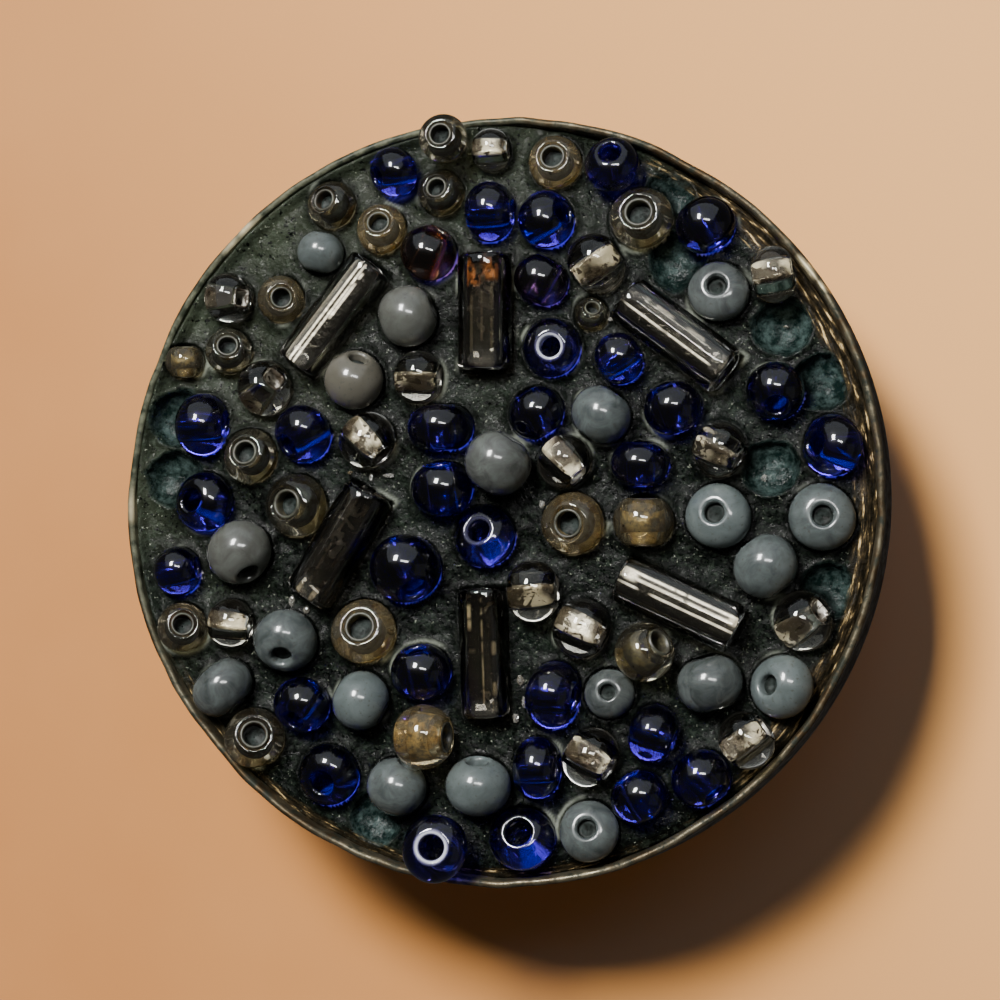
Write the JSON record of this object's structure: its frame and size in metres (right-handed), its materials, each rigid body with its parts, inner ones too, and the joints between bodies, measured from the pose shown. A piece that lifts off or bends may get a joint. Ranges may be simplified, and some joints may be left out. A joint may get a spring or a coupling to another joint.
{
  "type": "button earring",
  "caption": "Round button earring: a shallow metal tray of dark enamel packed with glass seed beads and short glass tubes, with a clip for the ear lobe on its back.",
  "frame": {"origin": "centre of the clip paddle's flat back, on the tray's axis", "axes": "+Z out of the beaded face along the tray's axis, +Y towards the top of the face as it was pictured, +X to its right"},
  "size_m": [0.0254, 0.0254, 0.0111],
  "materials": {
    "tray_metal": "silver plate worn through to brown brass",
    "enamel": "glossy, uneven, speckled",
    "bugle_silver": "polished, silver-lined bore",
    "bugle_dark": "polished, blackened lining",
    "cobalt_glass": "polished",
    "opal_glass": "polished, milky",
    "smoke_glass": "polished, clear",
    "silver_glass": "polished, silver-lined bore",
    "clip_metal": "worn plate"
  },
  "bodies": {
    "root": {"tray": "tray_metal", "enamel_bed": "enamel", "bugle_top_left": "bugle_silver", "bugle_top": "bugle_dark", "bugle_top_right": "bugle_silver", "bugle_left": "bugle_dark", "bugle_right": "bugle_silver", "bugle_bottom": "bugle_dark", "beads_cobalt": "cobalt_glass", "beads_opal": "opal_glass", "beads_smoke": "smoke_glass", "beads_silver": "silver_glass", "ear_clip": "clip_metal"}
  },
  "joints": []
}
